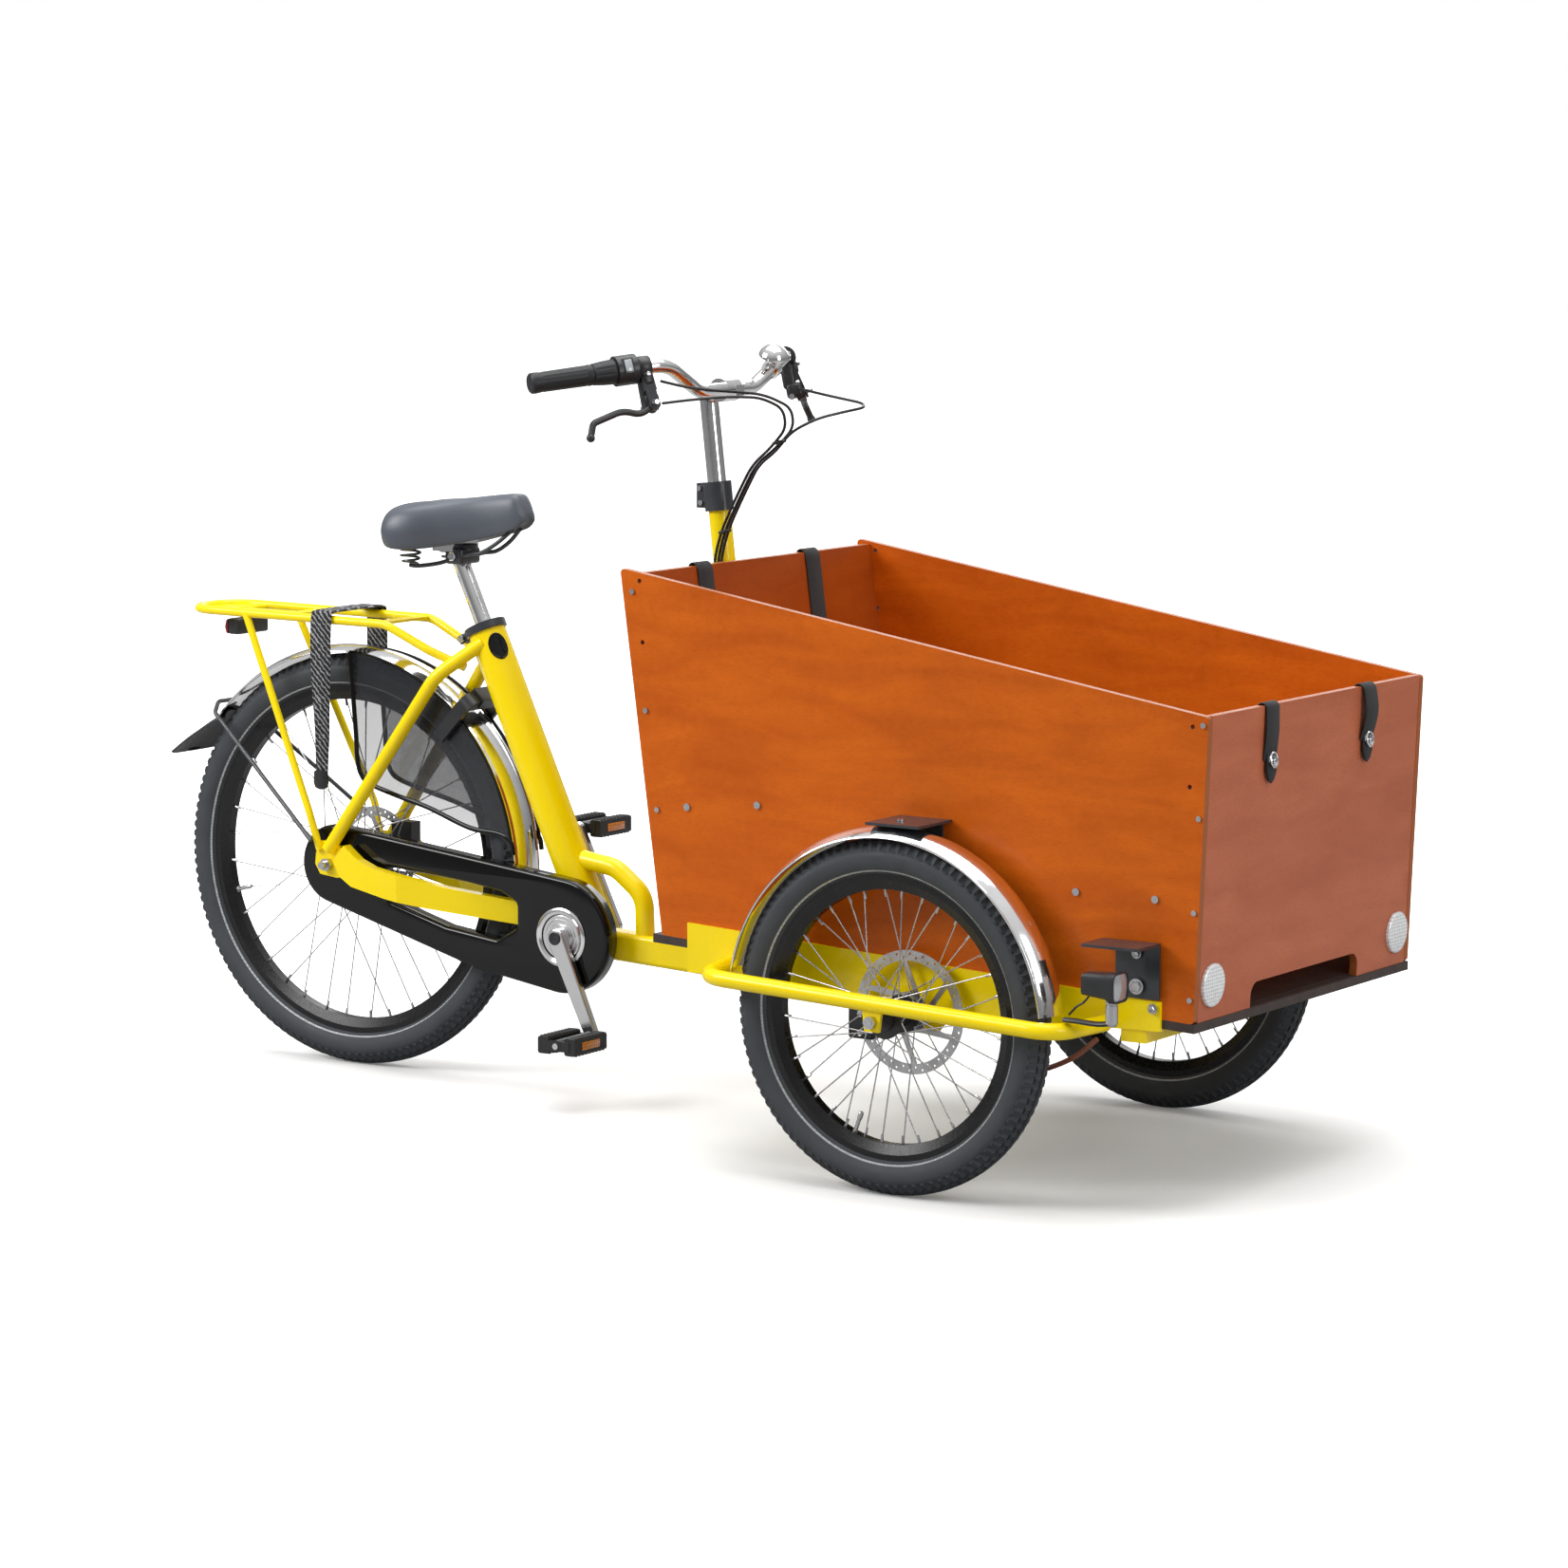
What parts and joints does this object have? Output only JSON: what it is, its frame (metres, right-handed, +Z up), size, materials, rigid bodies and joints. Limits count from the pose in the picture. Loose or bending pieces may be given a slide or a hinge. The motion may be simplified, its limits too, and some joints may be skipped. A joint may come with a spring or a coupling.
{
  "type": "cargo tricycle",
  "caption": "Cargo trike: open plywood box on a two-wheeled front module that swivels as one on a yellow rear frame with saddle, carrier and full chain cover.",
  "frame": {"origin": "on the ground, under the middle of the overall length and width", "axes": "+X forward, +Y to the rider's left, +Z up"},
  "size_m": [2.0996, 0.928, 1.182],
  "materials": {
    "box_panels": "orange-brown varnished birch plywood",
    "floor_board": "dark phenolic-faced plywood",
    "yellow_paint": "gloss yellow powder coat",
    "black_paint": "satin black paint",
    "bright_metal": "polished chrome",
    "steel": "bright zinc-plated and stainless steel",
    "alloy": "polished alloy",
    "hub_black": "black hub with a bare steel disc",
    "rim_black": "satin black alloy rim",
    "tyre_rubber": "black tyre with a reflective line",
    "rubber": "black rubber",
    "black_plastic": "satin black plastic",
    "chaincase_plastic": "gloss black plastic",
    "smoke_plastic": "smoke-tinted translucent plastic",
    "reflector_white": "white prismatic reflector",
    "rear_light_red": "dark red lens",
    "webbing": "black woven webbing",
    "saddle_cover": "black grained cover",
    "spring_steel": "black rails and springs"
  },
  "bodies": {
    "chassis": {"box_side_right": "box_panels", "box_side_left": "box_panels", "box_front_panel": "box_panels", "box_rear_panel": "box_panels", "box_floor": "floor_board", "box_benches": "box_panels", "front_reflectors": "reflector_white", "box_straps": "webbing", "chassis_frame": "yellow_paint", "steering_post": "yellow_paint", "wheel_guards": "yellow_paint", "front_fenders": "bright_metal", "side_brackets": "black_paint", "headlamps": "black_plastic", "front_brakes": "black_plastic", "chassis_fasteners": "steel", "post_clamp": "black_paint"},
    "steering_bar": {"handlebar_riser": "bright_metal", "handlebar": "bright_metal", "grips": "rubber", "lever_clamps": "black_plastic", "bell": "bright_metal", "control_cables": "rubber"},
    "brake_lever_right": {"brake_lever_right": "black_plastic"},
    "brake_lever_left": {"brake_lever_left": "black_plastic"},
    "twist_shifter": {"twist_shifter": "rubber"},
    "bell_lever": {"bell_lever": "bright_metal"},
    "front_wheel_right": {"front_tyre_right": "tyre_rubber", "front_rim_right": "rim_black", "front_spokes_right": "steel", "front_hub_right": "hub_black"},
    "front_wheel_left": {"front_tyre_left": "tyre_rubber", "front_rim_left": "rim_black", "front_spokes_left": "steel", "front_hub_left": "hub_black"},
    "rear_frame": {"main_frame": "yellow_paint", "rear_fasteners": "steel", "seat_clamp": "black_paint", "carrier": "yellow_paint", "rear_light": "rear_light_red", "rear_fender": "bright_metal", "mud_flap": "rubber", "fender_stays": "black_paint", "dress_guards": "smoke_plastic", "chaincase": "chaincase_plastic", "chain": "steel", "ring_lock": "black_plastic", "rear_caliper": "black_plastic", "carrier_strap": "webbing"},
    "rear_wheel": {"rear_tyre": "tyre_rubber", "rear_rim": "rim_black", "rear_spokes": "steel", "rear_hub": "hub_black"},
    "crankset": {"cranks": "alloy"},
    "pedal_right": {"pedal_right": "black_plastic"},
    "pedal_left": {"pedal_left": "black_plastic"},
    "rear_sprocket": {"rear_sprocket": "steel"},
    "seat": {"seat_post": "bright_metal", "saddle": "saddle_cover", "saddle_rails": "spring_steel"}
  },
  "joints": [
    {"name": "steering", "type": "hinge", "parent": "chassis", "child": "rear_frame", "pos_m": [0.57881, 0, 0.22], "axis": [0, 0, 1], "range_deg": [-35, 35]},
    {"name": "front_wheel_right_spin", "type": "hinge", "parent": "chassis", "child": "front_wheel_right", "pos_m": [0.57881, -0.3969, 0.258], "axis": [0, 1, 0], "continuous": true},
    {"name": "front_wheel_left_spin", "type": "hinge", "parent": "chassis", "child": "front_wheel_left", "pos_m": [0.57881, 0.3969, 0.258], "axis": [0, 1, 0], "continuous": true},
    {"name": "rear_wheel_spin", "type": "hinge", "parent": "rear_frame", "child": "rear_wheel", "pos_m": [-0.69489, 0, 0.3345], "axis": [0, 1, 0], "continuous": true},
    {"name": "crank_spin", "type": "hinge", "parent": "rear_frame", "child": "crankset", "pos_m": [-0.24189, 0, 0.255], "axis": [0, 1, 0], "continuous": true},
    {"name": "sprocket_spin", "type": "hinge", "parent": "rear_frame", "child": "rear_sprocket", "pos_m": [-0.69489, -0.053, 0.3345], "axis": [0, 1, 0], "continuous": true},
    {"name": "seat_height", "type": "slide", "parent": "rear_frame", "child": "seat", "axis": [-0.4195, 0, 0.9078], "range_m": [-0.07, 0.1]},
    {"name": "handlebar_height", "type": "slide", "parent": "chassis", "child": "steering_bar", "axis": [-0.1167, 0, 0.9932], "range_m": [-0.05, 0.05]},
    {"name": "pedal_right_spin", "type": "hinge", "parent": "crankset", "child": "pedal_right", "pos_m": [-0.17347, -0.13, 0.10486], "axis": [0, 1, 0], "continuous": true},
    {"name": "brake_lever_right_pull", "type": "hinge", "parent": "steering_bar", "child": "brake_lever_right", "pos_m": [0.02933, -0.20265, 1.10067], "axis": [-0.7341, 0.5336, -0.4198], "range_deg": [0, 14], "stiffness_Nm_per_rad": 0.6, "springref_deg": -20.05},
    {"name": "pedal_left_spin", "type": "hinge", "parent": "crankset", "child": "pedal_left", "pos_m": [-0.31031, 0.13, 0.40514], "axis": [0, 1, 0], "continuous": true},
    {"name": "brake_lever_left_pull", "type": "hinge", "parent": "steering_bar", "child": "brake_lever_left", "pos_m": [0.02933, 0.20265, 1.10067], "axis": [0.7341, 0.5336, 0.4198], "range_deg": [0, 14], "stiffness_Nm_per_rad": 0.6, "springref_deg": -20.05},
    {"name": "twist_shifter_turn", "type": "hinge", "parent": "steering_bar", "child": "twist_shifter", "pos_m": [-0.03074, -0.24714, 1.14917], "axis": [-0.5404, -0.8336, -0.1145], "range_deg": [-60, 60]},
    {"name": "bell_lever_push", "type": "hinge", "parent": "steering_bar", "child": "bell_lever", "pos_m": [0.03085, 0.12101, 1.15879], "axis": [0.3509, -0.2506, 0.9023], "range_deg": [0, 25], "stiffness_Nm_per_rad": 0.03, "springref_deg": -17.19}
  ],
  "couplings": [
    {"joint": "sprocket_spin", "follows": "crank_spin", "ratio": 1.9}
  ]
}
